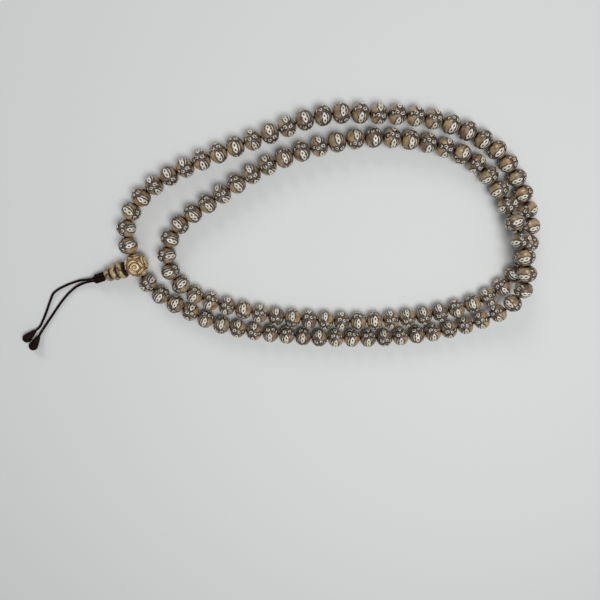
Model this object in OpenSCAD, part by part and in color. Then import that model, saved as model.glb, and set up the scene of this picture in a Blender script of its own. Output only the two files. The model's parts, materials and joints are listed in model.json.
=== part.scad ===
// Mala prayer beads, lying in two laps as they are put down after use: 108 carved beads
// on one cord, a guru bead that joins its ends, three discs and a wrapped knot under the
// guru bead, and the two ends of the cord left as tails with a knot on each.
// Sizes are in millimetres. +X runs along the longer way of the laps, +Z points up.

/* [Strung beads] */
// Diameter of a bead, across its hole
bead_d = 8.4; // [6:0.1:12]
// How much shorter a bead is along its hole than it is across
bead_flattening = 1.2; // [0.8:0.1:1.6]
// Space between two neighbouring beads where they come closest
bead_gap = 0.35; // [0.3:0.05:0.8]

/* [Guru bead] */
// Diameter of the guru bead
guru_d = 10.4; // [8:0.1:14]

/* [Discs under the guru bead] */
// Diameter of the disc next to the guru bead
disc_large_d = 7.8; // [6:0.1:10]
// Diameter of the disc in the middle
disc_middle_d = 7.2; // [5.5:0.1:9]
// Diameter of the disc next to the wrapped knot
disc_small_d = 6.2; // [5:0.1:8]
// Thickness of the large and the middle disc
disc_t = 3.1; // [2:0.1:4]
// Thickness of the small disc
disc_small_t = 3; // [2:0.1:4]
// Running space on each side of a disc
disc_gap = 0.3; // [0.15:0.05:0.5]

/* [Cord] */
// Diameter of the cord
cord_d = 1.1; // [0.8:0.1:1.5]
// Clearance between the cord and the wall of any hole
bore_clearance = 0.35; // [0.25:0.05:0.6]
// Space between the two runs of cord that share the stem hole
run_gap = 0.1; // [0.1:0.05:0.4]

/* [Knots] */
// Diameter of the wrapped knot
wrap_d = 4.3; // [3.8:0.1:6]
// Length of the wrapped knot
wrap_len = 6; // [4:0.2:9]
// Number of turns that are seen on the wrapped knot
wrap_turns = 5; // [3:1:8]
// Diameter of the knot at the end of a tail
tail_knot_d = 4.1; // [3:0.1:6]
// Length of the knot at the end of a tail
tail_knot_len = 7.2; // [6.5:0.1:10]

/* [Hidden] */
BEADS = 108;                 // a full mala, so this isn't a choice
LOOSE_HALF = 23;             // beads on each side of the guru bead that are nodes of their own
GROUPS = [[24, 39], [40, 55], [56, 70], [71, 85]];
cord_sides = 8;
$fn = 48;

bead_len = bead_d - bead_flattening;
bead_shoulder = bead_flattening / 2;
bead_bore = cord_d + 2 * bore_clearance;
guru_cross_bore = cord_d + 2 * bore_clearance;
run_offset = (cord_d + run_gap) / 2;
stem_bore = 2 * (run_offset + cord_d / 2 + bore_clearance);
pitch = bead_len + bead_gap;

// Where each piece under the guru bead begins and ends along the stem, from the bead's centre
disc_large_near = guru_d / 2 + disc_gap;
disc_middle_near = disc_large_near + disc_t + disc_gap;
disc_small_near = disc_middle_near + disc_t + disc_gap;
wrap_near = disc_small_near + disc_small_t + disc_gap;
wrap_far = wrap_near + wrap_len;

// The stem points away from the laps and leans down as far as its pieces allow
stem_heading = 195;
stem_lean = asin(min([
    for (piece = [
        [disc_large_d, disc_large_near + disc_t],
        [disc_middle_d, disc_middle_near + disc_t],
        [disc_small_d, disc_small_near + disc_small_t],
        [wrap_d, wrap_far]
    ]) (guru_d - piece[0]) / 2 / piece[1]
]));
stem_dir = [
    cos(stem_lean) * cos(stem_heading), cos(stem_lean) * sin(stem_heading), -sin(stem_lean)
];
stem_side = [-sin(stem_heading), cos(stem_heading), 0];

// The laps as they lie, seen from above: from the guru bead along the far outer side,
// under the other lap at the right, back along the near inner side, round the left end,
// along the far inner side, over the other lap, and home along the near outer side
GURU_SPOT = [-75.5, -4.5];
LAPS = [
    [-78, 9], [-74.5, 17.5], [-66, 26], [-55, 31.5], [-42, 36], [-28, 40], [-14, 43.5],
    [0, 47.5], [14, 49], [28, 47.5], [43, 45.5], [57, 41.5], [70, 35], [80.5, 26],
    [88, 13], [92.5, -1], [93, -11.5], [89.5, -21], [83, -29.5], [74, -35.5],
    [63, -38.5], [48, -40.5], [33.5, -41], [19, -40.5], [4, -38.5], [-11, -36],
    [-25, -32.5], [-39, -27.5], [-52, -21.5], [-60, -14], [-63, -4.5], [-60.5, 5],
    [-53, 12.5], [-39, 20], [-27, 26.5], [-13.5, 32.5], [0, 36], [13.5, 38],
    [27.5, 38.5], [41, 36.5], [55, 32.5], [67.5, 26], [77, 16], [82.5, 5], [86, -7],
    [88.5, -18], [88.5, -28.5], [83, -38], [73, -44.5], [59, -48.5], [43, -49.5],
    [28, -49.5], [13.5, -48], [-1, -46.5], [-15, -43.5], [-29, -40.5], [-43, -36],
    [-56, -28.5], [-68, -19]
];
curve_steps = 8;             // straight steps that stand for the curve between two points

// The upper lap rides over the lower one: which bead, how far it rises, over how many beads
over_bead = 82.3;
over_rise = bead_d + 0.8;
over_reach = 5.8;
// The strand leaves the guru bead at the height of its hole and comes down over this many beads
guru_reach = 3;

// Tails, from the face of the wrapped knot. The third number is how far a point is lifted off
// the table: in the first half as a share of the wrapped knot's height, then of the tail knot's.
// The fourth is how far the tail is set aside there, as a share of the tail knot's diameter, so
// that the two tail knots lie clear of each other
tail_rest = 0.05;            // space left under whatever lies on the table
TAIL_A = [
    [-3, 0.2, 0.75, 0], [-6, 0, 0.4, 0], [-9, -0.6, 0.1, 0], [-12, -1.4, 0, 0],
    [-15, -2.4, 0, 0], [-17.8, -3.6, 0, 0], [-20.2, -5.2, 0, 0], [-21.8, -7.6, 0, 0],
    [-23.4, -10.2, 0, 0], [-24.9, -12.8, 0, 0], [-26.5, -15.4, 0, 0], [-28.2, -18, 0.05, 0],
    [-29.9, -20.3, 0.25, 0], [-32.2, -21.9, 0.5, 0]
];
TAIL_B = [
    [-3, -0.9, 0.7, 0], [-5.8, -1.6, 0.35, 0], [-8.4, -2.6, 0.1, 0], [-10.9, -4, 0, 0],
    [-13.3, -5.7, 0, 0], [-15.5, -7.6, 0, 0], [-17.6, -9.6, 0, 0], [-19.6, -11.7, 0, 0],
    [-21.7, -13.4, 0, 0.1], [-23.8, -15.2, 0, 0.2], [-26, -16.8, 0, 0.35],
    [-28.1, -18.4, 0.05, 0.5], [-30.3, -20.1, 0.25, 0.65], [-32.2, -22, 0.5, 0.75]
];

// ---- Route of the strand ----

function unit(v) = v / norm(v);
function catmull(a, b, c, d, t) =
    (2 * b + (c - a) * t + (2 * a - 5 * b + 4 * c - d) * t ^ 2
        + (3 * b - a - 3 * c + d) * t ^ 3) / 2;
function curve(points) = let (last = len(points) - 1) [
    for (i = [0 : last - 1], step = [0 : curve_steps - 1])
        catmull(
            points[max(i - 1, 0)], points[i], points[i + 1], points[min(i + 2, last)],
            step / curve_steps
        ),
    points[last]
];
function distances(line) = [
    for (i = 0, s = 0; i < len(line); s = s + norm(line[min(i + 1, len(line) - 1)] - line[i]),
        i = i + 1) s
];

guru_mouth = guru_d / 2 + bead_gap / 2;
guru_side = [stem_side.x, stem_side.y];
lap_line = curve(concat(
    [GURU_SPOT - guru_side * guru_mouth], LAPS, [GURU_SPOT + guru_side * guru_mouth]
));
lap_distance = distances(lap_line);
lap_length = lap_distance[len(lap_distance) - 1];
// Where the strand bends, its beads meet on their inner shoulders, so each radian of bend takes
// up one shoulder's length of cord on top of the pitch
function turn_at(line, i) = i == 0 || i >= len(line) - 1 ? 0 : let (
    before = unit(line[i] - line[i - 1]), after = unit(line[i + 1] - line[i])
) atan2(abs(cross(before, after)), before * after) * PI / 180;
lap_turn = [
    for (i = 0, a = 0; i < len(lap_line); i = i + 1, a = a + turn_at(lap_line, i)) a
];
bend_room = bead_shoulder * lap_turn[len(lap_turn) - 1];
lap_scale = (BEADS * pitch + bend_room) / lap_length;
lap_count = [
    for (i = [0 : len(lap_line) - 1])
        (lap_scale * lap_distance[i] - bead_shoulder * lap_turn[i]) / pitch
];
lap_x = [for (i = [0 : len(lap_line) - 1]) [lap_count[i], lap_line[i].x]];
lap_y = [for (i = [0 : len(lap_line) - 1]) [lap_count[i], lap_line[i].y]];

function bump(x) = abs(x) < 1 ? (1 + cos(180 * x)) / 2 : 0;
function strand_height(i) =
    bead_d / 2 + over_rise * bump((i - over_bead) / over_reach)
    + (guru_d - bead_d) / 2 * (bump(i / guru_reach) + bump((i - BEADS) / guru_reach));

// Where two beads meet on the cord, before the part is centred
meeting = [
    for (i = [0 : BEADS])
        [lap_scale * lookup(i, lap_x), lap_scale * lookup(i, lap_y), strand_height(i)]
];
laid_guru = [
    meeting[0].x + guru_side.x * guru_mouth, meeting[0].y + guru_side.y * guru_mouth, guru_d / 2
];

// Half the width of a bead along an axis of the frame, for a bead whose hole points along dir
function half_width(dir, axis) = bead_len / 2 + bead_shoulder * sqrt(1 - dir[axis] ^ 2);
function bead_edge(axis, way) = [
    for (i = [0 : BEADS - 1]) let (dir = unit(meeting[i + 1] - meeting[i]))
        (meeting[i][axis] + meeting[i + 1][axis]) / 2 + way * half_width(dir, axis)
];
low_x = (laid_guru + stem_dir * wrap_far).x - wrap_d / 2 * sqrt(1 - stem_dir.x ^ 2);
centre = [
    (low_x + max(bead_edge(0, 1))) / 2,
    (min(bead_edge(1, -1)) + max(bead_edge(1, 1))) / 2,
    0
];
strand = [for (p = meeting) p - centre];
guru = laid_guru - centre;

// ---- Routes of the cord ----

function stem_point(along, aside) = guru + stem_dir * along + stem_side * aside;
turn_r = cord_d + 0.1;       // bend of the cord where it turns from the strand into the stem
turn_steps = 4;
// From the wrapped knot up to the guru bead, and round into the strand on side -1 or 1
function stem_run(side) = concat(
    [stem_point(wrap_near, side * run_offset)],
    [for (k = [0 : turn_steps]) let (a = 90 * k / turn_steps)
        stem_point(turn_r * (1 - sin(a)), side * (run_offset + turn_r * (1 - cos(a))))]
);
function reversed(list) = [for (i = [len(list) - 1 : -1 : 0]) list[i]];
stringing_route = concat(stem_run(-1), strand, reversed(stem_run(1)));

wrap_face = stem_point(wrap_far, 0);
tail_height = cord_d / 2 + tail_rest;
ball_r = tail_knot_d / 2;
ball_at = tail_knot_len - ball_r;      // from where the cord enters the knot
function tail_route(points, side) = concat(
    [stem_point(wrap_far, side * run_offset)],
    [for (i = [0 : len(points) - 1])
        let (
            p = points[i],
            end = i < len(points) / 2 ? wrap_face.z : ball_r,
            aside = p[3] * tail_knot_d * stem_side
        ) [
            wrap_face.x + p.x + aside.x,
            wrap_face.y + p.y + aside.y,
            tail_height + p.z * (end - cord_d / 2)
        ]]
);
tail_a_route = tail_route(TAIL_A, -1);
tail_b_route = tail_route(TAIL_B, 1);

// The way a tail knot points: on from its cord, tilted so that its ball lies on the table
function knot_dir(route) = let (
    last = len(route) - 1,
    step = route[last] - route[last - 1],
    tilt = asin((ball_r + tail_rest - route[last].z) / ball_at),
    heading = atan2(step.y, step.x)
) [cos(tilt) * cos(heading), cos(tilt) * sin(heading), sin(tilt)];

function direction(route, i) =
    unit(unit(route[i + 1] - route[i]) + unit(route[i] - route[i - 1]));
function ring(route, i, dir) = let (aside = unit(cross(dir, [0, 0, 1])), up = cross(aside, dir)) [
    for (k = [0 : cord_sides - 1]) let (a = 360 * (k + 0.5) / cord_sides)
        route[i] + cord_d / 2 * (cos(a) * aside + sin(a) * up)
];

// ---- Shapes that repeat ----

// A round cord swept along a route, with its end faces square to the directions given
module cord(route, first_dir, last_dir) {
    last = len(route) - 1;
    rings = concat(
        [ring(route, 0, first_dir)],
        [for (i = [1 : last - 1]) ring(route, i, direction(route, i))],
        [ring(route, last, last_dir)]
    );
    points = [for (r = rings) each r];
    near_end = [for (k = [0 : cord_sides - 1]) k];
    far_end = [for (k = [cord_sides - 1 : -1 : 0]) last * cord_sides + k];
    walls = [
        for (i = [0 : last - 1], k = [0 : cord_sides - 1])
            let (a = i * cord_sides + k, b = i * cord_sides + (k + 1) % cord_sides)
                each [[a, a + cord_sides, b], [b, a + cord_sides, b + cord_sides]]
    ];
    polyhedron(points = points, faces = concat([near_end, far_end], walls));
}

// Puts a shape whose axis is +Z at a point, with that axis along dir
module along(point, dir) {
    translate(point) rotate([0, acos(dir.z), atan2(dir.y, dir.x)]) children();
}

// A bead with round shoulders: an arc turned about the hole
module bead() {
    rotate_extrude() difference() {
        translate([bead_shoulder, 0]) circle(d = bead_len);
        translate([-bead_d, -bead_d]) square([bead_d + bead_bore / 2, 2 * bead_d]);
    }
}

module strung_bead(number) {
    from = strand[number - 1];
    to = strand[number];
    along((from + to) / 2, unit(to - from)) bead();
}

module bead_group(first, last) {
    for (number = [first : last]) strung_bead(number);
}

// Anything on the stem, placed by its distance from the middle of the guru bead
module on_stem(distance) {
    translate(guru) rotate([0, 90 + stem_lean, stem_heading]) translate([0, 0, distance]) children();
}

// A disc with a full round rim, and its hole
module disc(d, t) {
    rotate_extrude() union() {
        translate([stem_bore / 2, 0]) square([(d - t - stem_bore) / 2, t]);
        intersection() {
            translate([(d - t) / 2, t / 2]) circle(d = t);
            translate([stem_bore / 2, 0]) square([d, t]);
        }
    }
}

// A knot drawn tight at the end of a tail: a ball with a taper down to the cord
module tail_knot(route) {
    neck_r = 0.75 * cord_d;
    lean = asin((ball_r - neck_r) / ball_at);
    along(route[len(route) - 1], knot_dir(route)) rotate_extrude() union() {
        polygon([
            [0, 0], [neck_r, 0],
            [ball_r * cos(lean), ball_at - ball_r * sin(lean)], [0, ball_at]
        ]);
        intersection() {
            translate([0, ball_at]) circle(r = ball_r);
            translate([0, ball_at - ball_r]) square(2 * ball_r);
        }
    }
}

// ---- Pieces ----

module stringing_cord() {
    color("#2a1c18") cord(stringing_route, -stem_dir, stem_dir);
}

module guru_bead() {
    color("#a87c4a") on_stem(0) difference() {
        sphere(d = guru_d);
        rotate([90, 0, 0]) cylinder(d = guru_cross_bore, h = 2 * guru_d, center = true);
        cylinder(d = stem_bore, h = guru_d);
    }
}

module disc_large() {
    color("#8d7350") on_stem(disc_large_near) disc(disc_large_d, disc_t);
}

module disc_middle() {
    color("#a18a62") on_stem(disc_middle_near) disc(disc_middle_d, disc_t);
}

module disc_small() {
    color("#8a6a48") on_stem(disc_small_near) disc(disc_small_d, disc_small_t);
}

// The cord wound round itself and drawn tight: a core with a ridge for each turn
module wrapped_knot() {
    turn_w = wrap_len / wrap_turns;
    color("#1d1412") on_stem(wrap_near) rotate_extrude() {
        square([wrap_d / 2 - turn_w / 4, wrap_len]);
        for (turn = [0 : wrap_turns - 1])
            translate([wrap_d / 2 - turn_w / 2, (turn + 0.5) * turn_w]) circle(d = turn_w);
    }
}

module tail_cord_a() {
    color("#1d1412") cord(tail_a_route, stem_dir, knot_dir(tail_a_route));
}

module tail_cord_b() {
    color("#1d1412") cord(tail_b_route, stem_dir, knot_dir(tail_b_route));
}

module tail_knot_a() {
    color("#1d1412") tail_knot(tail_a_route);
}

module tail_knot_b() {
    color("#1d1412") tail_knot(tail_b_route);
}

// ---- Nodes ----

function three_digits(n) = str(n < 100 ? "0" : "", n < 10 ? "0" : "", n);
function bead_node(n) = str("bead_", three_digits(n));
function group_node(g) = str("beads_", three_digits(g[0]), "_to_", three_digits(g[1]));
loose_beads = concat(
    [for (n = [1 : LOOSE_HALF]) n], [for (n = [BEADS - LOOSE_HALF + 1 : BEADS]) n]
);

stringing_cord();
guru_bead();
disc_large();
disc_middle();
disc_small();
wrapped_knot();
tail_cord_a();
tail_cord_b();
tail_knot_a();
tail_knot_b();
for (n = loose_beads)
    color("#8f7a5f") strung_bead(n);
for (g = GROUPS)
    color("#85725a") bead_group(g[0], g[1]);
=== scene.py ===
"""Mala prayer beads: 108 carved bone beads on a waxed cord, with a guru bead, three turned
discs, a wrapped knot and two knotted tails. Every piece is built over its own solid of the
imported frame, in metres, with +Z up."""

import json
import math

import bmesh
import bpy
import numpy as np
from mathutils import Matrix, Vector


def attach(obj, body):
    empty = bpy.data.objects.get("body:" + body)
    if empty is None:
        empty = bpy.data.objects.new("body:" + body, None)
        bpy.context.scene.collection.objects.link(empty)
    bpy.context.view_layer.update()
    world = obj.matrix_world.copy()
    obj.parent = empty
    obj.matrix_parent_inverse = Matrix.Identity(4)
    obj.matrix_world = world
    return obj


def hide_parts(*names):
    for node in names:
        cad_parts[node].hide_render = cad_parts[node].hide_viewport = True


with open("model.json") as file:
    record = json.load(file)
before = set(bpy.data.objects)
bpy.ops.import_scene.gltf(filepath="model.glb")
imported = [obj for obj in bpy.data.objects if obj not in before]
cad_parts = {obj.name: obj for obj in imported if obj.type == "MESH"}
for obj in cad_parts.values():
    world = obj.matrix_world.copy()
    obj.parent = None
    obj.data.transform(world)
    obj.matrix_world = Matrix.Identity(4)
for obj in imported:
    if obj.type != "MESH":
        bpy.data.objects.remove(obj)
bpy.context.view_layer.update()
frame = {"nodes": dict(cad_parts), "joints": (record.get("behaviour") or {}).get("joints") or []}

bl_info = {
    "name": "Mala prayer beads",
    "version": (1, 0, 0),
    "blender": (4, 5, 0),
    "location": "View3D > Sidebar > Mala",
    "description": "Builds a strand of carved prayer beads over its packed frame",
    "category": "Object",
}

MM = 0.001
JOINTS = {joint["child"]: joint for joint in frame["joints"]}

# The stem runs from the middle of the guru bead down through the discs and the wrapped knot
GURU = Vector(JOINTS["disc_large"]["pos_m"])
STEM = Vector(JOINTS["disc_large"]["axis"]).normalized()
STEM_SIDE = Vector((-STEM.y, STEM.x, 0)).normalized()
# How far down the stem each disc starts, its thickness and its diameter, in millimetres
DISCS = {"disc_large": (5.5, 3.1, 7.8), "disc_middle": (8.9, 3.1, 7.2), "disc_small": (12.3, 3.0, 6.2)}
# Where the wrapped knot starts and ends, and its diameter
WRAP_NEAR, WRAP_FAR, WRAP_D = 15.6, 21.6, 4.3
# The stem's hole is this wide, and the two runs of cord in it lie this far from its middle. Each
# bends out of the guru bead's sides at this radius
STEM_BORE, RUN_OFFSET, RUN_BEND = 3.0, 0.6, 1.2
# A bead is a circle of this radius turned round its hole at this distance. The radius of the
# hole through it is the same in the guru bead, from side to side
BEAD_R, BEAD_SHOULDER, BEAD_BORE = 3.6, 0.6, 0.9
GURU_R = 5.2
BEADS = 108
# The nodes that hold a run of beads, by the number of their first one, as in beads_024_to_039
GROUPS = {int(name[6:9]): name for name in frame["nodes"] if name.startswith("beads_")}

# Cords and knots that lie on the floor are this far above it
FLOOR_LIFT = 0.05
# How deep a tail knot is between its turns, as a share of its radius there
TURN_DEPTH = 0.09

# The tails, from the face of the wrapped knot: x and y in millimetres, the lift as a share of
# the knot's height at that end, and the share of a tail knot's diameter that it is set aside
TAIL_A = [
    (-3, 0.2, 0.75, 0), (-6, 0, 0.4, 0), (-9, -0.6, 0.1, 0), (-12, -1.4, 0, 0),
    (-15, -2.4, 0, 0), (-17.8, -3.6, 0, 0), (-20.2, -5.2, 0, 0), (-21.8, -7.6, 0, 0),
    (-23.4, -10.2, 0, 0), (-24.9, -12.8, 0, 0), (-26.5, -15.4, 0, 0), (-28.2, -18, 0.05, 0),
    (-29.9, -20.3, 0.25, 0), (-32.2, -21.9, 0.5, 0),
]
TAIL_B = [
    (-3, -0.9, 0.7, 0), (-5.8, -1.6, 0.35, 0), (-8.4, -2.6, 0.1, 0), (-10.9, -4, 0, 0),
    (-13.3, -5.7, 0, 0), (-15.5, -7.6, 0, 0), (-17.6, -9.6, 0, 0), (-19.6, -11.7, 0, 0),
    (-21.7, -13.4, 0, 0.1), (-23.8, -15.2, 0, 0.2), (-26, -16.8, 0, 0.35),
    (-28.1, -18.4, 0.05, 0.5), (-30.3, -20.1, 0.25, 0.65), (-32.2, -22, 0.5, 0.75),
]

# Half the floor's side, in metres
FLOOR_HALF = 3
# Each light's name, place and size in metres, and its share of the lamp's power
LIGHTS = (("lamp", (0.12, -0.08, 0.58), 0.35, 0.88), ("window", (-0.8, 2.8, 1.6), 1.2, 12.0))
# The camera looks down, tipped and turned by these degrees, from this place in millimetres
CAMERA_AT, CAMERA_TIP, CAMERA_TURN = (-8.42, 59.86, 245.13), -20, -5.5


def linear(code):
    """An sRGB hex colour as linear red, green, blue and alpha."""
    channels = [int(code[i:i + 2], 16) / 255 for i in (1, 3, 5)]
    return (*(c / 12.92 if c <= 0.04045 else ((c + 0.055) / 1.055) ** 2.4 for c in channels), 1.0)


# ---- Settings ----


class MalaCarvingSettings(bpy.types.PropertyGroup):
    """Sizes and colours of the carved and turned pieces"""

    columns: bpy.props.IntProperty(
        name="Columns", description="Steps round a bead's hole", default=108, min=36, max=144
    )
    rows: bpy.props.IntProperty(
        name="Rows", description="Steps from one end of a bead to the other", default=46, min=20, max=60
    )
    cut_depth: bpy.props.FloatProperty(
        name="Cut depth", description="How deep the ground is cut below the raised strokes",
        default=0.2 * MM, min=0.05 * MM, max=0.4 * MM, unit="LENGTH", precision=5,
    )
    seed: bpy.props.IntProperty(
        name="Seed", description="Picks how each bead is turned on the cord and toned", default=7
    )
    ivory: bpy.props.FloatVectorProperty(
        name="Raised bone", description="Colour of the strokes that stand out of the ground",
        default=linear("#dbd4c4")[:3], size=3, subtype="COLOR", min=0, max=1,
    )


class MalaCordSettings(bpy.types.PropertyGroup):
    """Sizes of the cord and its knots"""

    diameter: bpy.props.FloatProperty(
        name="Diameter", description="Diameter of the waxed cord",
        default=1.1 * MM, min=0.8 * MM, max=1.5 * MM, unit="LENGTH", precision=5,
    )
    lay: bpy.props.FloatProperty(
        name="Lay", description="Length over which the plies go once round the cord",
        default=3.2 * MM, min=1.5 * MM, max=8 * MM, unit="LENGTH", precision=5,
    )
    plies: bpy.props.IntProperty(
        name="Plies", description="How many plies are twisted into the cord", default=3, min=2, max=5
    )
    knot_diameter: bpy.props.FloatProperty(
        name="Tail knot diameter", description="Diameter of the knot at the end of a tail",
        default=4.1 * MM, min=3 * MM, max=6 * MM, unit="LENGTH", precision=5,
    )
    knot_length: bpy.props.FloatProperty(
        name="Tail knot length", description="Length of the knot at the end of a tail",
        default=7.2 * MM, min=6.5 * MM, max=10 * MM, unit="LENGTH", precision=5,
    )


class MalaStageSettings(bpy.types.PropertyGroup):
    """The floor, the lights and the camera"""

    floor: bpy.props.FloatVectorProperty(
        name="Floor", description="Colour of the surface that the beads lie on",
        default=linear("#dbdddc")[:3], size=3, subtype="COLOR", min=0, max=1,
    )
    sky: bpy.props.FloatProperty(
        name="Room light", description="Strength of the even light from all round", default=0.25, min=0
    )
    lamp: bpy.props.FloatProperty(
        name="Lamp", description="Power of the lamp overhead, which the window's light follows",
        default=2.55, min=0, unit="POWER",
    )
    lens: bpy.props.FloatProperty(
        name="Lens", description="Focal length of the camera", default=34.0, min=10, unit="CAMERA"
    )


# ---- Helpers ----


def node(tree, kind, inputs=(), **settings):
    """Adds a node with its settings, and gives each input a value or a link. Inputs come by name
    or in order."""
    made = tree.nodes.new(kind)
    for name, value in settings.items():
        setattr(made, name, value)
    for key, value in inputs.items() if isinstance(inputs, dict) else enumerate(inputs):
        if isinstance(value, bpy.types.NodeSocket):
            tree.links.new(value, made.inputs[key])
        else:
            made.inputs[key].default_value = value
    return made


def link_to_scene(name, data):
    made = bpy.data.objects.new(name, data)
    bpy.context.scene.collection.objects.link(made)
    return made


def mesh_from(name, points, faces):
    mesh = bpy.data.meshes.new(name)
    mesh.from_pydata([tuple(p) for p in points], [], [tuple(f) for f in faces])
    mesh.shade_smooth()
    mesh.update()
    return mesh


def add_attributes(mesh, **named):
    """Gives the points of a mesh named values: numbers, whole numbers or vectors."""
    for name, values in named.items():
        values = np.asarray(values)
        vector = values.ndim == 2
        kind = "FLOAT_VECTOR" if vector else "INT" if values.dtype.kind == "i" else "FLOAT"
        made = mesh.attributes.new(name, kind, "POINT")
        made.data.foreach_set("vector" if vector else "value", values.ravel())


def ring_faces(rows, columns, closed):
    """Faces between rings of points, ring after ring; closed joins the last ring to the first."""
    corners = np.arange(rows * columns).reshape(rows, columns)
    after = np.roll(corners, -1, axis=0)
    faces = np.stack([
        corners, np.roll(corners, -1, axis=1), np.roll(after, -1, axis=1), after,
    ], axis=-1)
    return faces[:rows if closed else rows - 1].reshape(-1, 4).tolist()


def turned(profile, columns):
    """Points of a profile of (radius, height) pairs turned about +Z, ring after ring."""
    angles = np.arange(columns) * 2 * math.pi / columns
    radius, height = np.asarray(profile, float).T
    return np.stack([
        radius[:, None] * np.cos(angles), radius[:, None] * np.sin(angles),
        np.repeat(height[:, None], columns, axis=1),
    ], axis=-1).reshape(-1, 3)


def smooth_step(value, low, high):
    share = np.clip((value - low) / (high - low), 0, 1)
    return share * share * (3 - 2 * share)


def place_along(mesh, point, direction):
    """Moves a mesh so that its +Z runs along direction from point, and its +X beside the stem."""
    z = Vector(direction).normalized()
    y = z.cross(STEM_SIDE).normalized()
    turn = Matrix((y.cross(z), y, z)).transposed().to_4x4()
    mesh.transform(Matrix.Translation(point) @ turn)
    mesh.update()


def finish_piece(piece, body, slot, *nodes):
    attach(piece, body)
    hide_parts(*nodes)


def grown(name, start, tree, **values):
    """What a Geometry Nodes tree makes of a mesh, as a plain mesh object at the origin."""
    seed = link_to_scene(name + "_start", start)
    modifier = seed.modifiers.new(tree.name, "NODES")
    modifier.node_group = tree
    sockets = {s.name: s.identifier for s in tree.interface.items_tree if s.in_out == "INPUT"}
    for key, value in values.items():
        modifier[sockets[key]] = value
    graph = bpy.context.evaluated_depsgraph_get()
    mesh = bpy.data.meshes.new_from_object(
        seed.evaluated_get(graph), preserve_all_data_layers=True, depsgraph=graph
    )
    seed.modifiers.clear()
    bpy.data.objects.remove(seed)
    mesh.name = name
    if not mesh.polygons:
        raise RuntimeError(f"{tree.name} made no faces for {name}")
    return link_to_scene(name, mesh)


def on_stem(along, aside=0.0):
    """A point by its distance in millimetres from the guru bead's middle, and beside the stem."""
    return GURU + STEM * along * MM + STEM_SIDE * aside * MM


# ---- Materials ----


def new_material(name):
    made = bpy.data.materials.new(name)
    made.use_nodes = True
    made.node_tree.nodes.clear()
    return made, made.node_tree


def surface(tree, colour, rough, relief=None, **constants):
    """Ends a material's tree in its shader, whose constant sockets are set on the shader itself.
    relief is the pattern that stands out, how strongly, and how far in millimetres."""
    sockets = {key.replace("_", " "): value for key, value in constants.items()}
    if relief:
        height, strength, depth = relief
        sockets["Normal"] = node(tree, "ShaderNodeBump", {
            "Height": height, "Strength": strength, "Distance": depth * MM}).outputs[0]
    shader = node(tree, "ShaderNodeBsdfPrincipled", {
        "Base Color": colour, "Roughness": rough, **sockets}).outputs[0]
    node(tree, "ShaderNodeOutputMaterial", {"Surface": shader})


def coated(tree, base, coats):
    """base with one colour after another over it. Each coat comes in smoothly as its pattern goes
    from low to high: the pattern, low, high, how much of the coat there is at each, its colour."""
    for pattern, low, high, thin, thick, code in coats:
        share = node(tree, "ShaderNodeMapRange", (pattern, low, high, thin, thick),
                     interpolation_type="SMOOTHSTEP").outputs[0]
        base = node(tree, "ShaderNodeMix", {"Factor": share, "A": base, "B": linear(code)},
                    data_type="RGBA").outputs["Result"]
    return base


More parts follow.
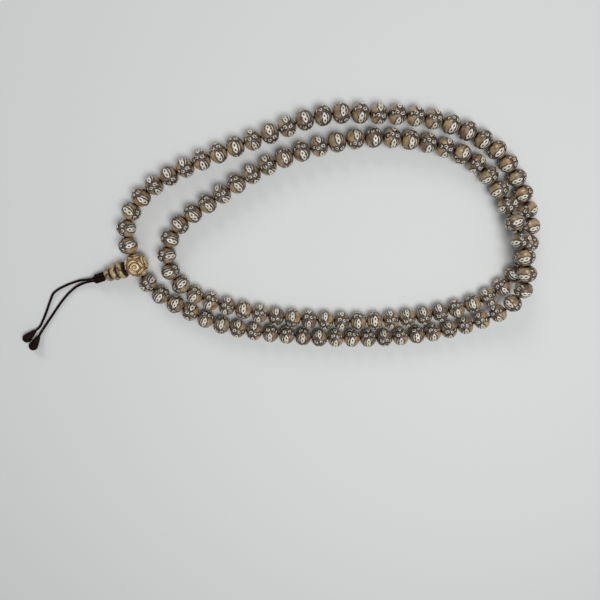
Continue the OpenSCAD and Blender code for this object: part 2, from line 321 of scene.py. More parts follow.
def carved_bone(name, tones, ground, stain, ivory, line):
    """Cow bone, carved, stained dark in the cuts and polished: the raised strokes stay pale and
    shine, the polished faces take the stain as a warm tone, and the cuts are matt and nearly
    black. Fine dark pores run along the bone's grain."""
    made, tree = new_material(name)
    strokes, panel, bore, tone = (
        node(tree, "ShaderNodeAttribute", attribute_name=label).outputs["Fac"]
        for label in ("strokes", "panel", "bore", "tone")
    )
    local = node(tree, "ShaderNodeAttribute", attribute_name="local").outputs["Vector"]
    # Each bead is cut from another piece of bone, so its tone also moves the grain
    offset = node(tree, "ShaderNodeVectorMath", {0: (37.0, 11.0, 23.0), "Scale": tone},
                  operation="SCALE").outputs[0]
    at = node(tree, "ShaderNodeVectorMath", (local, offset), operation="ADD").outputs[0]
    # The grain's streaks are about 0.25 mm wide and 2 mm long; local is in millimetres
    along = node(tree, "ShaderNodeMapping", {"Vector": at, "Scale": (4.0, 4.0, 0.5)}).outputs[0]
    streaks, clouds, pores = (
        node(tree, "ShaderNodeTexNoise", {
            "Vector": where, "Scale": scale, "Detail": detail, "Roughness": rough,
        }).outputs["Fac"]
        for where, scale, detail, rough in (
            (along, 1.0, 4.0, 0.6), (at, 0.35, 2.0, 0.5), (along, 3.0, 1.0, 0.5),
        )
    )

    shades = []
    for pattern, stops in (
        (tone, tones), (streaks, [(0.3, "#8f8981"), (0.48, "#cbc6be"), (0.68, "#ffffff")]),
    ):
        shade = node(tree, "ShaderNodeValToRGB", (pattern,))
        elements = shade.color_ramp.elements
        while len(elements) < len(stops):
            elements.new(0.5)
        for element, (spot, code) in zip(elements, stops):
            element.position, element.color = spot, linear(code)
        shades.append(shade.outputs["Color"])
    clouded = coated(tree, shades[0], [(clouds, 0.46, 0.62, 0, 0.55, tones[-1][1])])
    grained = node(tree, "ShaderNodeMix", {"Factor": 1.0, "A": clouded, "B": shades[1]},
                   data_type="RGBA", blend_type="MULTIPLY").outputs["Result"]
    # Painted shade: each polished face is painted darker towards its edge, in the ground's colour
    base = coated(tree, grained, [
        (clouds, 0.44, 0.3, 0, 0.6, ground), (panel, 0, 0.9, 0.45, 0, ground),
        (panel, -0.02, 0.05, 1, 0, ground), (pores, 0.62, 0.7, 0, 0.55, stain),
    ])
    raised, face, worn, dry = (
        node(tree, "ShaderNodeMapRange", inputs, interpolation_type="SMOOTHSTEP").outputs[0]
        for inputs in (
            (strokes, -0.03, 0.05, 0, 1), (panel, -0.02, 0.05, 0, 1),
            (clouds, 0.3, 0.62, 1, 0.72), (streaks, 0.3, 0.7, 0.08, 0),
        )
    )

    # Dark lines: the hole, the cut round each stroke and the cut round each polished face
    lines = bore
    for inside, cut, near, far in (
        (strokes, 0.55 * line, 0.35 * line, line), (panel, 0.1, 0.05, 0.17),
    ):
        off = node(tree, "ShaderNodeMath", (inside, cut), operation="ADD").outputs[0]
        off = node(tree, "ShaderNodeMath", (off,), operation="ABSOLUTE").outputs[0]
        drawn = node(tree, "ShaderNodeMapRange", (off, near, far, 1, 0),
                     interpolation_type="SMOOTHSTEP").outputs[0]
        lines = node(tree, "ShaderNodeMath", (lines, drawn), operation="MAXIMUM").outputs[0]
    lines = node(tree, "ShaderNodeMath", (lines, worn), operation="MULTIPLY").outputs[0]
    pale = coated(tree, ivory, [
        (clouds, 0.5, 0.72, 0, 0.45, tones[1][1]), (pores, 0.6, 0.7, 0, 0.3, ground),
    ])
    for share, colour in ((lines, linear(stain)), (raised, pale)):
        base = node(tree, "ShaderNodeMix", {"Factor": share, "A": base, "B": colour},
                    data_type="RGBA").outputs["Result"]

    shine = node(tree, "ShaderNodeMath", (raised, face), operation="MAXIMUM").outputs[0]
    rough = node(tree, "ShaderNodeMapRange", (shine, 0, 1, 0.58, 0.26),
                 interpolation_type="SMOOTHSTEP").outputs[0]
    rough = node(tree, "ShaderNodeMath", (rough, dry), operation="ADD").outputs[0]
    height = node(tree, "ShaderNodeMath", (streaks, 0.12, shine), operation="MULTIPLY_ADD").outputs[0]
    surface(tree, base, rough, (height, 0.55, 0.08), IOR=1.54, Coat_Weight=0.5,
            Coat_Roughness=0.12, Coat_IOR=1.5)
    return made


def turned_bone(name, light, dark, stain):
    """Bone turned to a disc and polished: clouded tan, darker by the hole and towards both flat faces,
    and stained in fine rings from the lathe about 0.2 mm apart."""
    made, tree = new_material(name)
    local = node(tree, "ShaderNodeAttribute", attribute_name="local").outputs["Vector"]
    bore = node(tree, "ShaderNodeAttribute", attribute_name="bore").outputs["Fac"]
    clouds = node(tree, "ShaderNodeTexNoise", {
        "Vector": local, "Scale": 0.55, "Detail": 4.0, "Roughness": 0.6}).outputs["Fac"]
    rings = node(tree, "ShaderNodeTexWave", {
        "Vector": local, "Scale": 1.6, "Distortion": 0.6, "Detail": 1.0, "Detail Scale": 1.5,
    }, bands_direction="Z").outputs["Fac"]
    specks = node(tree, "ShaderNodeTexNoise", {
        "Vector": local, "Scale": 3.2, "Detail": 2.0}).outputs["Fac"]
    base = coated(tree, linear(dark), [
        (clouds, 0.4, 0.58, 0, 1, light), (rings, 0.62, 0.95, 0, 0.3, dark),
        (specks, 0.62, 0.72, 0, 0.7, stain),
    ])
    # Darker by the hole and towards both flat faces, where a disc meets the next one
    base = node(tree, "ShaderNodeMix", {"Factor": bore, "A": base, "B": linear(stain)},
                data_type="RGBA").outputs["Result"]
    rough = node(tree, "ShaderNodeMapRange", (bore, 0, 1, 0.32, 0.6),
                 interpolation_type="SMOOTHSTEP").outputs[0]
    height = node(tree, "ShaderNodeMath", (rings, clouds), operation="ADD").outputs[0]
    surface(tree, base, rough, (height, 0.25, 0.04), IOR=1.54, Coat_Weight=0.3,
            Coat_Roughness=0.2, Coat_IOR=1.5)
    return made


def waxed_cord(name, colour, worn):
    """Twisted polyester cord, waxed: nearly black, with a dull wax shine, fine fibres along the plies and
    painted shade in the grooves between the plies."""
    made, tree = new_material(name)
    position = node(tree, "ShaderNodeTexCoord").outputs["Object"]
    ply = node(tree, "ShaderNodeAttribute", attribute_name="ply").outputs["Fac"]
    # Fibres are drawn 0.15 mm across, coarser than the real ones so that they show at all
    fibres, patches = (
        node(tree, "ShaderNodeTexNoise", {
            "Vector": position, "Scale": 1 / (size * MM), "Detail": 2.0}).outputs["Fac"]
        for size in (0.15, 3)
    )
    # Painted shade: where ply is 0, in the grooves between plies and between a knot's turns, the colour
    # goes nearly black
    base = coated(tree, linear(colour), [
        (fibres, 0.4, 0.75, 0, 0.5, worn), (ply, 0, 0.6, 0.75, 0, "#040202"),
    ])
    rough = node(tree, "ShaderNodeMapRange", (patches, 0.35, 0.65, 0.42, 0.62),
                 interpolation_type="SMOOTHSTEP").outputs[0]
    surface(tree, base, rough, (fibres, 0.4, 0.06), IOR=1.45, Specular_IOR_Level=0.1)
    return made


# ---- Geometry Nodes trees ----


def new_tree(name, inputs):
    """A tree with a geometry in and out, and named inputs of the given socket kinds."""
    tree = bpy.data.node_groups.new(name, "GeometryNodeTree")
    tree.interface.new_socket("Geometry", in_out="INPUT", socket_type="NodeSocketGeometry")
    for label, kind, default in inputs:
        socket = tree.interface.new_socket(label, in_out="INPUT", socket_type=kind)
        if default is not None:
            socket.default_value = default
    tree.interface.new_socket("Geometry", in_out="OUTPUT", socket_type="NodeSocketGeometry")
    return tree, node(tree, "NodeGroupInput").outputs


def end_tree(tree, geometry, material):
    real = node(tree, "GeometryNodeRealizeInstances", {"Geometry": geometry}).outputs[0]
    painted = node(tree, "GeometryNodeSetMaterial", {"Geometry": real, "Material": material})
    node(tree, "NodeGroupOutput", {"Geometry": painted.outputs[0]})
    return tree


def strung_tree():
    """Puts one of the carved beads on each point, with its hole along the cord there, turned
    on the cord by chance and given a tone of its own."""
    tree, given = new_tree("Strung beads", [
        ("Beads", "NodeSocketCollection", None), ("Kinds", "NodeSocketInt", 4),
        ("Seed", "NodeSocketInt", 7), ("Material", "NodeSocketMaterial", None),
    ])
    hole, number = (
        node(tree, "GeometryNodeInputNamedAttribute", {"Name": label}, data_type=kind).outputs[0]
        for label, kind in (("hole", "FLOAT_VECTOR"), ("number", "INT"))
    )
    # By chance: how far a bead is turned on the cord, which kind it is, and its tone
    angle, pick, tone = (
        node(tree, "FunctionNodeRandomValue", {
            "Max": most, "ID": number,
            "Seed": node(tree, "ShaderNodeMath", (given["Seed"], more), operation="ADD").outputs[0],
        }, data_type="FLOAT").outputs["Value"]
        for most, more in ((2 * math.pi, 1), (0.999, 2), (1.0, 3))
    )
    along = node(tree, "FunctionNodeAlignRotationToVector", {"Vector": hole}, axis="Z").outputs[0]
    spin = node(tree, "FunctionNodeAxisAngleToRotation", {
        "Axis": (0.0, 0.0, 1.0), "Angle": angle}).outputs[0]
    turn = node(tree, "FunctionNodeRotateRotation", {"Rotation": along, "Rotate By": spin},
                rotation_space="LOCAL").outputs[0]
    kinds = node(tree, "GeometryNodeCollectionInfo", {
        "Collection": given["Beads"], "Separate Children": True, "Reset Children": True}).outputs[0]
    which = node(tree, "ShaderNodeMath", (pick, given["Kinds"]), operation="MULTIPLY").outputs[0]
    which = node(tree, "ShaderNodeMath", (which,), operation="FLOOR").outputs[0]
    strung = node(tree, "GeometryNodeInstanceOnPoints", {
        "Points": given["Geometry"], "Instance": kinds, "Pick Instance": True,
        "Instance Index": which, "Rotation": turn}).outputs[0]
    toned = node(tree, "GeometryNodeStoreNamedAttribute", {
        "Geometry": strung, "Name": "tone", "Value": tone,
    }, data_type="FLOAT", domain="INSTANCE").outputs[0]
    return end_tree(tree, toned, given["Material"])


def cord_tree():
    """Sweeps a twisted cord along the edges of a mesh: a profile with one bulge for each ply,
    turned as it goes by the length of the lay."""
    tree, given = new_tree("Twisted cord", [
        ("Diameter", "NodeSocketFloat", 1.1 * MM), ("Lay", "NodeSocketFloat", 3.2 * MM),
        ("Plies", "NodeSocketInt", 3), ("Ply Depth", "NodeSocketFloat", 0.09),
        ("Step", "NodeSocketFloat", 0.3 * MM), ("Sides", "NodeSocketInt", 18),
        ("Material", "NodeSocketMaterial", None),
    ])
    line = node(tree, "GeometryNodeMeshToCurve", {"Mesh": given["Geometry"]}).outputs[0]
    line = node(tree, "GeometryNodeResampleCurve", {
        "Curve": line, "Length": given["Step"]}, mode="LENGTH").outputs[0]
    tilt = node(tree, "GeometryNodeSplineParameter").outputs["Length"]
    for operation, other in (("DIVIDE", given["Lay"]), ("MULTIPLY", 2 * math.pi)):
        tilt = node(tree, "ShaderNodeMath", (tilt, other), operation=operation).outputs[0]
    line = node(tree, "GeometryNodeSetCurveTilt", {"Curve": line, "Tilt": tilt}).outputs[0]

    # How far round the cord, then 1 on a ply and 0 between two, then the radius there
    bulge = node(tree, "GeometryNodeSplineParameter").outputs["Factor"]
    for operation, *others in (
        ("MULTIPLY", given["Plies"]), ("MULTIPLY", 2 * math.pi), ("COSINE",),
        ("MULTIPLY_ADD", 0.5, 0.5),
    ):
        bulge = node(tree, "ShaderNodeMath", (bulge, *others), operation=operation).outputs[0]
    radius = bulge
    for operation, *others in (
        ("SUBTRACT", 1.0), ("MULTIPLY_ADD", given["Ply Depth"], 1.0),
        ("MULTIPLY", given["Diameter"]), ("MULTIPLY", 0.5),
    ):
        radius = node(tree, "ShaderNodeMath", (radius, *others), operation=operation).outputs[0]
    circle = node(tree, "GeometryNodeCurvePrimitiveCircle", {"Resolution": given["Sides"]}).outputs[0]
    # ply also tells the cord's material where to paint shade between the plies
    circle = node(tree, "GeometryNodeStoreNamedAttribute", {
        "Geometry": circle, "Name": "ply", "Value": bulge}, data_type="FLOAT").outputs[0]
    place = node(tree, "GeometryNodeInputPosition").outputs[0]
    place = node(tree, "ShaderNodeVectorMath", {0: place, "Scale": radius}, operation="SCALE").outputs[0]
    circle = node(tree, "GeometryNodeSetPosition", {"Geometry": circle, "Position": place}).outputs[0]
    tube = node(tree, "GeometryNodeCurveToMesh", {
        "Curve": line, "Profile Curve": circle, "Fill Caps": True}).outputs[0]
    tube = node(tree, "GeometryNodeSetShadeSmooth", {"Geometry": tube}).outputs[0]
    return end_tree(tree, tube, given["Material"])


# ---- The route of the cord ----


def through(points, steps):
    """Points on one smooth line through the given points, with that many steps between two."""
    points = [np.asarray(p, float) for p in points]
    made = []
    for i in range(len(points) - 1):
        a, b, c, d = (points[min(max(k, 0), len(points) - 1)] for k in range(i - 1, i + 3))
        for t in np.arange(steps) / steps:
            made.append((2 * b + (c - a) * t + (2 * a - 5 * b + 4 * c - d) * t ** 2
                         + (3 * b - a - 3 * c + d) * t ** 3) / 2)
    return made + [points[-1]]


def tail_route(points, side, cord_d, knot_d):
    """A tail's own points in metres, from where it leaves the wrapped knot to its own knot."""
    face = on_stem(WRAP_FAR)
    route = [on_stem(WRAP_FAR, side * RUN_OFFSET)]
    for i, (x, y, lift, aside) in enumerate(points):
        end = face.z if i < len(points) / 2 else knot_d / 2
        shift = STEM_SIDE * aside * knot_d
        height = cord_d / 2 + FLOOR_LIFT * MM + lift * (end - cord_d / 2)
        route.append(Vector((face.x + x * MM + shift.x, face.y + y * MM + shift.y, height)))
    return route


def knot_direction(route, settings):
    """The way a tail knot points: on from its cord, tilted so that its ball lies on the floor."""
    step = route[-1] - route[-2]
    ball_at = settings.knot_length - settings.knot_diameter / 2
    rise = (settings.knot_diameter / 2 + FLOOR_LIFT * MM - route[-1].z) / ball_at
    flat = Vector((step.x, step.y, 0)).normalized() * math.sqrt(1 - rise * rise)
    return Vector((flat.x, flat.y, rise))


def edge_line(points):
    mesh = bpy.data.meshes.new("line")
    mesh.from_pydata([tuple(p) for p in points], [(i, i + 1) for i in range(len(points) - 1)], [])
    return mesh


def islands(solid):
    """The separate solids in a CAD node's mesh, each as an array of its points."""
    grid = bmesh.new()
    grid.from_mesh(solid.data)
    bmesh.ops.remove_doubles(grid, verts=grid.verts, dist=1e-6)
    left, found = set(grid.verts), []
    while left:
        todo, points = [left.pop()], []
        while todo:
            vert = todo.pop()
            points.append(tuple(vert.co))
            beside = {edge.other_vert(vert) for edge in vert.link_edges} & left
            left -= beside
            todo += beside
        found.append(np.array(sorted(points)))
    grid.free()
    return found


def bead_spots():
    """Each bead's centre and the way its hole points, for every bead node, in order along the
    cord. A loose bead's are its joint's; those in a group are measured on their own solids."""
    spots, last = {}, None
    for number in range(1, BEADS + 1):
        name = f"bead_{number:03d}"
        if name in JOINTS:
            last = Vector(JOINTS[name]["pos_m"])
            spots[name] = [(number, last, Vector(JOINTS[name]["axis"]).normalized())]
            continue
        if number not in GROUPS:
            continue
        group = GROUPS[number]
        left = islands(frame["nodes"][group])
        spots[group] = []
        while left:
            middles = [Vector((p.max(axis=0) + p.min(axis=0)) / 2) for p in left]
            nearest = min(range(len(left)), key=lambda k: (middles[k] - last).length)
            points, middle = left.pop(nearest), middles[nearest]
            # The mouths of the hole are the points nearest to the bead's middle
            reach = points - np.array(middle)
            far = np.linalg.norm(reach, axis=1)
            mouths = reach[far < far.min() + 0.04 * MM]
            hole = Vector(np.linalg.eigh(mouths.T @ mouths)[1][:, 2])
            if hole.dot(middle - last) < 0:
                hole = -hole
            spots[group].append((number + len(spots[group]), middle, hole))
            last = middle
    return spots


# ---- Carving ----


def ellipse(x, y, a, b):
    """About how far a point is inside an ellipse, negative outside."""
    return (1 - np.hypot(x / a, y / b)) * min(a, b)


def curl_line(cx, cy, start, sweep, inner, outer, steps=18):
    """A line that winds out from near (cx, cy), in millimetres."""
    shares = np.linspace(0, 1, steps)
    angles = np.radians(start + sweep * shares)
    reach = inner + (outer - inner) * shares
    return np.stack([cx + reach * np.cos(angles), cy + reach * np.sin(angles)], axis=1)


def line_depth(x, y, line, width):
    """How far points are inside a stroke that follows a line and thins towards its ends."""
    best = np.full(x.shape, -9.0)
    count = len(line) - 1
    for i in range(count):
        ax, ay = line[i]
        bx, by = line[i + 1] - line[i]
        share = np.clip(((x - ax) * bx + (y - ay) * by) / (bx * bx + by * by), 0, 1)
        half = width * (0.45 + 0.55 * math.sin(math.pi * (i + 0.5) / count))
        best = np.maximum(best, half - np.hypot(x - ax - share * bx, y - ay - share * by))
    return best


def bead_carving(angle, lat, radius, rng):
    """The raised strokes and the polished faces of a bead, each as the distance inside them in
    millimetres. Three times round there is a figure of eight with a crescent beside it and a
    polished face behind and ahead of it, and between them columns of curls."""
    strokes = np.full(angle.shape, -9.0)
    panel = np.full(angle.shape, -9.0)
    y0 = BEAD_R * lat
    leaf_long, leaf_high, arc = 2.7, 1.12, 2.5
    face_turn, face_end = 0.8, 4.75
    for sector in range(3):
        middle = 2 * math.pi * (sector + 0.5) / 3 + rng.uniform(-0.05, 0.05)
        turn = (angle - middle + math.pi) % (2 * math.pi) - math.pi
        x0 = turn * radius
        lean, size = rng.uniform(-0.14, 0.14), rng.uniform(0.95, 1.08)
        shift = rng.uniform(-0.12, 0.12)
        x = (x0 * math.cos(lean) + y0 * math.sin(lean)) / size
        y = (y0 * math.cos(lean) - x0 * math.sin(lean) - shift - 0.25) / size
        # A pointed leaf with a waist is the eight, with an eye cut into each half
        waist = 1 - 0.3 * np.exp(-((x / 0.32) ** 2))
        leaf = leaf_high * waist * (1 - np.abs(x / leaf_long) ** 2.2)
        eight = np.minimum(leaf - np.abs(y), leaf_long - np.abs(x))
        eyes = np.maximum(ellipse(x - 1.02, y, 0.55, 0.3), ellipse(x + 1.02, y, 0.55, 0.3))
        strokes = np.maximum(strokes, np.minimum(eight, -eyes))
        crescent = 0.22 * (1 - (x / arc) ** 2) - np.abs(y - 1.85 + 0.17 * x ** 2)
        strokes = np.maximum(strokes, np.minimum(crescent, arc - np.abs(x)))
        sides = (face_turn - np.abs(turn)) * radius
        for edge in (-1.0 + 0.03 * x0 ** 2 - y0, y0 - 2.7):
            face = np.minimum(np.minimum(edge, sides), face_end - np.abs(y0))
            panel = np.maximum(panel, face)

        turn = (angle - 2 * math.pi * sector / 3 + math.pi) % (2 * math.pi) - math.pi
        x, y = turn * radius - rng.uniform(-0.1, 0.1), y0 - rng.uniform(-0.15, 0.15)
        way = rng.choice((-1, 1))
        for line, width in (
            (curl_line(0.1 * way, 1.3, 90, 430 * way, 0.15, 0.95), 0.2),
            (curl_line(-0.15 * way, -0.75, 250, 410 * way, 0.15, 0.92), 0.2),
            (curl_line(0.25 * way, -2.45, 60, 300 * way, 0.12, 0.55), 0.17),
            (curl_line(0, 3.1, 200, 140, 0.9, 0.9), 0.16),
            (curl_line(0, -3.6, 20, 140, 0.75, 0.75), 0.15),
        ):
            strokes = np.maximum(strokes, line_depth(x, y, line, width))
    return strokes, panel


def carved_master(name, settings, rng):
    """One carved bead about +Z at the origin, closed through its hole."""
    columns = settings.columns
    end = math.acos((BEAD_BORE - BEAD_SHOULDER) / BEAD_R)
    lats = np.linspace(-end, end, settings.rows)
    profile = [(BEAD_SHOULDER + BEAD_R * math.cos(a), BEAD_R * math.sin(a)) for a in lats]
    wall, mouth = 0.8, 0.84
    inside = [(mouth, 3.2), (wall, 1.2), (wall, -1.2), (mouth, -3.2)]
    points = turned(profile + inside, columns)
    rows = len(profile) + len(inside)
    angle = np.tile(np.arange(columns) * 2 * math.pi / columns, rows)
    lat = np.repeat(np.concatenate([lats, np.linspace(end, -end, len(inside))]), columns)
    radius = np.hypot(points[:, 0], points[:, 1])
    strokes, panel = bead_carving(angle, lat, radius, rng)
    outer = np.arange(len(points)) < len(profile) * columns
    strokes[~outer], panel[~outer] = -1, -1
    bore = np.where(outer, smooth_step(radius, 1.75, 1.15), 1.0)

    # The ground is cut deepest right beside a stroke or a face
    raised = np.maximum(smooth_step(strokes, -0.14, 0.08), smooth_step(panel, -0.16, 0.08) * 0.9)
    cut = np.exp(-((strokes + 0.2) / 0.14) ** 2) * 0.35 + np.exp(-((panel + 0.12) / 0.1) ** 2) * 0.3
    depth = (1 - raised + cut) * settings.cut_depth / MM * smooth_step(radius, 1.0, 1.5) * outer
    centre = points.copy()
    centre[:, :2] *= (BEAD_SHOULDER / np.maximum(radius, BEAD_SHOULDER))[:, None]
    centre[:, 2] = 0
    normal = points - centre
    normal /= np.linalg.norm(normal, axis=1)[:, None]
    points = points - normal * depth[:, None]

    mesh = mesh_from(name, points * MM, ring_faces(rows, columns, True))
    add_attributes(mesh, strokes=strokes, panel=panel, bore=bore, local=points)
    return mesh


def guru_carving(ways):
    """The raised strokes of the guru bead, as the distance inside them: a coiled tendril on each
    side, with leaves round it."""
    tendril = [
        (curl_line(0, 0, 40, 610, 0.2, 2.15, 30), 0.5),
        (curl_line(0.2, 0.1, 205, 75, 2.95, 3.1), 0.5),
        (curl_line(0.2, 0.1, 300, 60, 2.9, 3.2), 0.46),
        (curl_line(0.1, 0, 15, 55, 3.0, 2.8), 0.5),
        (curl_line(0, 0, 95, 80, 2.85, 3.2), 0.44),
    ]
    spots = [(0.1, 0.05, 1)]
    spots += [(math.cos(a), math.sin(a), 0.05) for a in np.radians((20, 92, 164, 236, 308))]
    spots += [(0, 0, -1)]
    depth = np.full(len(ways), -9.0)
    for spot in spots:
        centre = np.array(spot) / np.linalg.norm(spot)
        aside = np.cross((0.3, 1, 0.1), centre)
        aside /= np.linalg.norm(aside)
        up = np.cross(centre, aside)
        near = ways @ centre > 0.7
        angle = np.arccos(np.clip(ways[near] @ centre, -1, 1))
        flat = np.stack([ways[near] @ aside, ways[near] @ up], axis=1)
        flat *= (angle * GURU_R / np.maximum(np.linalg.norm(flat, axis=1), 1e-9))[:, None]
        for line, width in tendril:
            depth[near] = np.maximum(depth[near], line_depth(flat[:, 0], flat[:, 1], line, width))
    return depth


# ---- Operators ----


class MALA_OT_stage(bpy.types.Operator):
    """Lays the floor, hangs the lights and sets up the camera"""

    bl_idname = "mala.stage"
    bl_label = "Stage"

    def execute(self, context):
        settings = context.scene.mala_stage
        corners = [(x * FLOOR_HALF, y * FLOOR_HALF, 0) for x, y in ((-1, -1), (1, -1), (1, 1), (-1, 1))]
        floor = link_to_scene("floor", mesh_from("floor", corners, [(0, 1, 2, 3)]))
        # Painted board: pale, matt and plain
        paint, tree = new_material("Matt painted board")
        surface(tree, (*settings.floor, 1.0), 0.7)
        floor.data.materials.append(paint)

        world = bpy.data.worlds.new("Room")
        world.use_nodes = True
        room = world.node_tree.nodes["Background"]
        room.inputs["Color"].default_value = linear("#fcfdff")
        room.inputs["Strength"].default_value = settings.sky
        context.scene.world = world
        # The colours are matched as they are seen, so they go to the screen unchanged
        context.scene.view_settings.view_transform = "Standard"
        for name, spot, size, share in LIGHTS:
            light = bpy.data.lights.new(name, "AREA")
            light.energy = settings.lamp * share
            light.size = size
            lamp = link_to_scene(name, light)
            lamp.location = spot
            lamp.visible_camera = False
            lamp.rotation_euler = (-Vector(spot)).to_track_quat("-Z", "Y").to_euler()

        camera = bpy.data.cameras.new("camera")
        camera.lens = settings.lens
        camera.sensor_width = 36
        camera.clip_start = 0.01
        eye = link_to_scene("camera", camera)
        eye.matrix_world = (
            Matrix.Translation(Vector(CAMERA_AT) * MM)
            @ Matrix.Rotation(math.radians(CAMERA_TIP), 4, "X")
            @ Matrix.Rotation(math.radians(CAMERA_TURN), 4, "Z")
        )
        context.scene.camera = eye
        return {"FINISHED"}


class MALA_OT_tails(bpy.types.Operator):
    """Makes the two tails of cord and the knot at the end of each"""

    bl_idname = "mala.tails"
    bl_label = "Tails"

    def execute(self, context):
        settings = context.scene.mala_cord
        tree = cord_tree()
        cord = waxed_cord("Waxed black-brown cord", "#1a0808", "#2f1414")
        wound = waxed_cord("Waxed cord, drawn tight", "#160707", "#270f0f")
        for letter, points, side in (("a", TAIL_A, -1), ("b", TAIL_B, 1)):
            own = tail_route(points, side, settings.diameter, settings.knot_diameter)
            toward = knot_direction(own, settings)
            route = through([on_stem(WRAP_FAR - 0.6, side * RUN_OFFSET)] + own
                            + [own[-1] + toward * 0.6 * MM], 4)
            knot = self.knot(f"tail_knot_{letter}_wound", own[-1], toward, settings, wound)
            finish_piece(knot, "strand", "knot", f"tail_knot_{letter}")
            tail = grown(
                f"tail_{letter}_twisted", edge_line(route), tree, Diameter=settings.diameter,
                Lay=settings.lay, Plies=settings.plies, Step=0.2 * MM, Material=cord,
            )
            finish_piece(tail, "strand", "tail_cord", f"tail_cord_{letter}")
        return {"FINISHED"}

    def knot(self, name, point, toward, settings, cord):
        """Cord wound over the tail's end and pulled tight: turns that slope round a drop."""
        radius, length = settings.knot_diameter / 2, settings.knot_length
        ball_at = length - radius
        neck = 0.75 * settings.diameter
        lean = math.asin((radius - neck) / ball_at)
        columns, rows = 72, 84
        profile = []
        # The sides of the drop run straight from its neck and meet the ball here
        meet_z, meet_r = ball_at - radius * math.sin(lean), radius * math.cos(lean)
        for share in np.linspace(0, 1, rows)[1:-1]:
            z = length * share
            if z < meet_z:
                around = neck + (meet_r - neck) * z / meet_z
            else:
                around = math.sqrt(max(radius ** 2 - (z - ball_at) ** 2, 0))
            profile.append((around, z))
        points = turned(profile, columns)
        angle = np.tile(np.arange(columns) * 2 * math.pi / columns, len(profile))
        # The turns are 1 mm apart and slope once round; every third one crosses the others
        wave = math.pi * (points[:, 2] / MM - angle / (2 * math.pi))
        cross = np.cos(2 * math.pi * (points[:, 2] / (2.6 * MM) + angle / math.pi)) > 0.25
        ply = np.maximum(np.abs(np.sin(wave)) ** 0.6, cross * np.abs(np.sin(wave + 0.9)) ** 0.6)
        points[:, :2] *= 1 - (1 - ply[:, None]) * TURN_DEPTH
        tip = len(points)
        tuck = 0.02 * MM
        points = np.vstack([points, [(0, 0, tuck), (0, 0, length - tuck)]])
        faces = ring_faces(len(profile), columns, False)
        for k in range(columns):
            beside = (k + 1) % columns
            last = (len(profile) - 1) * columns
            faces += [(tip, beside, k), (tip + 1, last + k, last + beside)]
        mesh = mesh_from(name, points, faces)
        # ply is 0 in the grooves between the turns, where the cord's material paints shade
        add_attributes(mesh, ply=np.append(ply, (1, 1)))
        place_along(mesh, point, toward)
        mesh.materials.append(cord)
        return link_to_scene(name, mesh)


class MALA_OT_stringing_cord(bpy.types.Operator):
    """Makes the cord that the beads are strung on, from the wrapped knot round and back"""

    bl_idname = "mala.stringing_cord"
    bl_label = "Stringing cord"

    def execute(self, context):
        settings = context.scene.mala_cord
        beads = [spot for spots in bead_spots().values() for spot in spots]
        beads.sort(key=lambda spot: spot[0])
        half = BEAD_R * MM
        ends = [(middle - hole * half, middle + hole * half) for _, middle, hole in beads]
        strand = [ends[0][0]]
        strand += [(after[0] + before[1]) / 2 for before, after in zip(ends, ends[1:])]
        strand += [ends[-1][1]]
        # Where the runs leave the discs, and where they leave the guru bead's sides
        disc_end, side_end = 8.0, 4.6
        down, back = [], []
        for run, side in ((down, -1), (back, 1)):
            run.append(on_stem(WRAP_NEAR + 0.5, side * RUN_OFFSET))
            run.append(on_stem(disc_end, side * RUN_OFFSET))
            for a in np.radians(np.linspace(0, 90, 5)):
                aside = RUN_OFFSET + RUN_BEND * (1 - math.cos(a))
                run.append(on_stem(RUN_BEND * (1 - math.sin(a)), side * aside))
            run.append(on_stem(0, side * side_end))
        route = through(down + strand + back[::-1], 3)
        cord = grown(
            "stringing_cord_twisted", edge_line(route), cord_tree(),
            Diameter=settings.diameter, Lay=settings.lay, Plies=settings.plies, Step=0.5 * MM,
            Sides=12, Material=waxed_cord("Waxed dark brown cord", "#160b09", "#2c1813"),
        )
        finish_piece(cord, "strand", "strand_cord", "stringing_cord")
        return {"FINISHED"}


class MALA_OT_beads(bpy.types.Operator):
    """Carves four kinds of bead and strings one of them on at every place on the cord"""

    bl_idname = "mala.beads"
    bl_label = "Carved beads"

    def execute(self, context):
        settings = context.scene.mala_carving
        bone = carved_bone(
            "Carved and stained bone",
            [(0.0, "#7a6350"), (0.25, "#a08767"), (0.65, "#c4a97f"), (0.86, "#c69869"), (1.0, "#dcc59d")],
            "#5e4938", "#0c0706", (*settings.ivory, 1.0), 0.36,
        )
        box = bpy.data.collections.new("carved_kinds")
        rng = np.random.default_rng(settings.seed)
        kinds = []
        for letter in "abcd":
            mesh = carved_master(f"kind_{letter}", settings, rng)
            kinds.append(bpy.data.objects.new(f"kind_{letter}", mesh))
            box.objects.link(kinds[-1])
        tree = strung_tree()
        for name, spots in bead_spots().items():
            start = bpy.data.meshes.new("spots")
            start.from_pydata([tuple(middle) for _, middle, _ in spots], [], [])
            add_attributes(start, hole=[tuple(hole) for _, _, hole in spots],
                           number=[number for number, _, _ in spots])
            piece = grown(
                f"{name}_carved", start, tree, Beads=box, Kinds=len(kinds), Seed=settings.seed,
                Material=bone,
            )
            finish_piece(piece, name if name in JOINTS else "strand", "bead", name)
        for kind in kinds:
            bpy.data.objects.remove(kind)
        bpy.data.collections.remove(box)
        return {"FINISHED"}


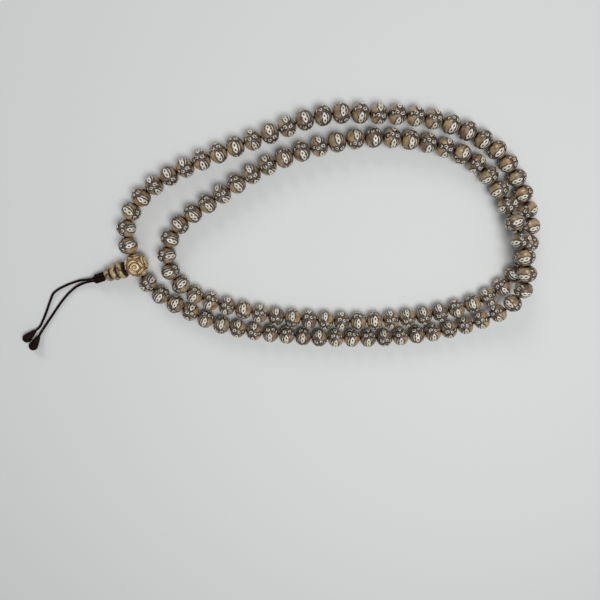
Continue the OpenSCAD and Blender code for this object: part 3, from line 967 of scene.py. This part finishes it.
class MALA_OT_guru_bead(bpy.types.Operator):
    """Carves the guru bead, with its cross hole and its stem hole"""

    bl_idname = "mala.guru_bead"
    bl_label = "Guru bead"

    def execute(self, context):
        settings = context.scene.mala_carving
        ball = bmesh.new()
        bmesh.ops.create_icosphere(ball, subdivisions=7, radius=1)
        mesh = bpy.data.meshes.new("guru_bead_carved")
        ball.to_mesh(mesh)
        ball.free()
        mesh.shade_smooth()
        ways = np.empty(len(mesh.vertices) * 3)
        mesh.vertices.foreach_get("co", ways)
        ways = ways.reshape(-1, 3)
        ways /= np.linalg.norm(ways, axis=1)[:, None]
        strokes = guru_carving(ways)
        raised = smooth_step(strokes, -0.1, 0.08)
        depth = (1 - raised) * 0.26 + np.exp(-((strokes + 0.2) / 0.14) ** 2) * 0.14
        bore = np.zeros(len(ways))
        sink = np.zeros(len(ways))
        for way, across in ((STEM, STEM_BORE / 2), (STEM_SIDE, BEAD_BORE), (-STEM_SIDE, BEAD_BORE)):
            facing = ways @ np.array(way)
            off = np.sqrt(np.maximum(1 - facing ** 2, 0)) * GURU_R + (facing < 0) * 9
            bore = np.maximum(bore, smooth_step(off, across + 0.7, across + 0.05))
            sink = np.maximum(sink, smooth_step(off, across, across - 0.22) * 2.2)
        strokes = np.where(bore > 0.5, -1, strokes)
        points = ways * (GURU_R - depth * (1 - bore) - sink)[:, None]
        mesh.vertices.foreach_set("co", (points * MM + np.array(GURU)).ravel())
        mesh.update()
        add_attributes(mesh, strokes=strokes, panel=np.ones(len(ways)), bore=bore,
                       tone=np.full(len(ways), 0.5), local=points)
        mesh.materials.append(carved_bone(
            "Carved golden bone",
            [(0.0, "#966f3d"), (0.5, "#ae844c"), (1.0, "#be9358")],
            "#64401f", "#1c0e06", linear("#d9c08c"), 0.24,
        ))
        finish_piece(link_to_scene(mesh.name, mesh), "strand", "guru", "guru_bead")
        return {"FINISHED"}


class MALA_OT_discs(bpy.types.Operator):
    """Turns the three discs under the guru bead"""

    bl_idname = "mala.discs"
    bl_label = "Turned discs"

    def execute(self, context):
        bone = turned_bone("Turned and polished bone", "#b99e70", "#553d26", "#1f110b")
        for name, (near, thick, across) in DISCS.items():
            rim = (across - thick) / 2
            profile = [(rim + thick / 2 * math.cos(a), thick / 2 * math.sin(a))
                       for a in np.radians(np.linspace(-90, 90, 25))]
            wall = STEM_BORE / 2
            lip = 0.12
            profile += [(wall + lip, thick / 2), (wall, thick / 2 - lip), (wall, 0),
                        (wall, lip - thick / 2), (wall + lip, -thick / 2)]
            points = turned(profile, 96)
            radius = np.hypot(points[:, 0], points[:, 1])
            # bore is 1 by the hole and towards both flat faces, which the material draws darker
            bore = np.maximum(smooth_step(radius, wall + 0.9, wall + 0.2),
                              smooth_step(np.abs(points[:, 2]), thick * 0.3, thick * 0.44))
            # Cut by hand, so no face is quite flat
            angle = np.arctan2(points[:, 1], points[:, 0])
            points[:, 2] *= 1 - 0.03 * (1 + np.sin(2 * angle + across))
            mesh = mesh_from(f"{name}_turned", points * MM, ring_faces(len(profile), 96, True))
            add_attributes(mesh, bore=bore, local=points + (0, 0, 9 * across))
            place_along(mesh, on_stem(near + thick / 2), STEM)
            mesh.materials.append(bone)
            finish_piece(link_to_scene(mesh.name, mesh), name, "disc", name)
        return {"FINISHED"}


class MALA_OT_wrapped_knot(bpy.types.Operator):
    """Winds the cord round itself below the discs"""

    bl_idname = "mala.wrapped_knot"
    bl_label = "Wrapped knot"

    def execute(self, context):
        settings = context.scene.mala_cord
        turns, thick = 5, 1.2
        length = WRAP_FAR - WRAP_NEAR
        around = WRAP_D / 2 - thick / 2
        # The winding starts and ends under itself, so its ends dip into the core
        steps = np.linspace(0, 1, 24 * turns)
        dip = 0.5 * (smooth_step(steps, 0.06, 0) + smooth_step(steps, 0.94, 1))
        angles = 2 * math.pi * (turns - 0.6) * steps
        heights = thick / 2 + (length - thick) * steps
        reach = around - dip
        line = np.stack([reach * np.cos(angles), reach * np.sin(angles), heights], axis=1) * MM
        cord = waxed_cord("Waxed cord, wound", "#180707", "#2a0f0f")
        winding = grown(
            "wrapped_knot_wound", edge_line(line), cord_tree(), Diameter=thick * MM,
            Lay=settings.lay, Plies=settings.plies, Step=0.2 * MM, Material=cord,
        )
        # The run of cord inside the winding, with rounded shoulders
        shoulder = [(around - 0.5, 0.05), (around - 0.15, 0.15), (around, 0.5)]
        profile = shoulder + [(r, length - z) for r, z in reversed(shoulder)]
        columns = 48
        points = turned(profile, columns)
        faces = ring_faces(len(profile), columns, False)
        faces.append(tuple(range(columns))[::-1])
        faces.append(tuple(range((len(profile) - 1) * columns, len(profile) * columns)))
        inner = mesh_from("core", points * MM, faces)
        add_attributes(inner, ply=np.ones(len(points)))
        grid = bmesh.new()
        grid.from_mesh(winding.data)
        grid.from_mesh(inner)
        grid.to_mesh(winding.data)
        grid.free()
        bpy.data.meshes.remove(inner)
        place_along(winding.data, on_stem(WRAP_NEAR), STEM)
        finish_piece(winding, "strand", "knot", "wrapped_knot")
        return {"FINISHED"}


class MALA_PT_panel(bpy.types.Panel):
    """The steps of building the mala, and its sizes and colours"""

    bl_idname = "MALA_PT_panel"
    bl_label = "Mala prayer beads"
    bl_space_type = "VIEW_3D"
    bl_region_type = "UI"
    bl_category = "Mala"

    def draw(self, context):
        for operator in STEPS:
            self.layout.operator(operator.bl_idname)
        for name in ("mala_carving", "mala_cord", "mala_stage"):
            settings = getattr(context.scene, name)
            for key in settings.__annotations__:
                self.layout.prop(settings, key)


SETTINGS = {
    "mala_carving": MalaCarvingSettings,
    "mala_cord": MalaCordSettings,
    "mala_stage": MalaStageSettings,
}
STEPS = (
    MALA_OT_stage, MALA_OT_tails, MALA_OT_stringing_cord, MALA_OT_wrapped_knot,
    MALA_OT_discs, MALA_OT_guru_bead, MALA_OT_beads,
)


def register():
    for kind in (*SETTINGS.values(), *STEPS, MALA_PT_panel):
        bpy.utils.register_class(kind)
    for name, kind in SETTINGS.items():
        setattr(bpy.types.Scene, name, bpy.props.PointerProperty(type=kind))


def unregister():
    for name in SETTINGS:
        delattr(bpy.types.Scene, name)
    for kind in (MALA_PT_panel, *reversed(STEPS), *SETTINGS.values()):
        bpy.utils.unregister_class(kind)


def main():
    register()
    for step in STEPS:
        family, name = step.bl_idname.split(".")
        getattr(getattr(bpy.ops, family), name)()


if __name__ == "__main__":
    main()
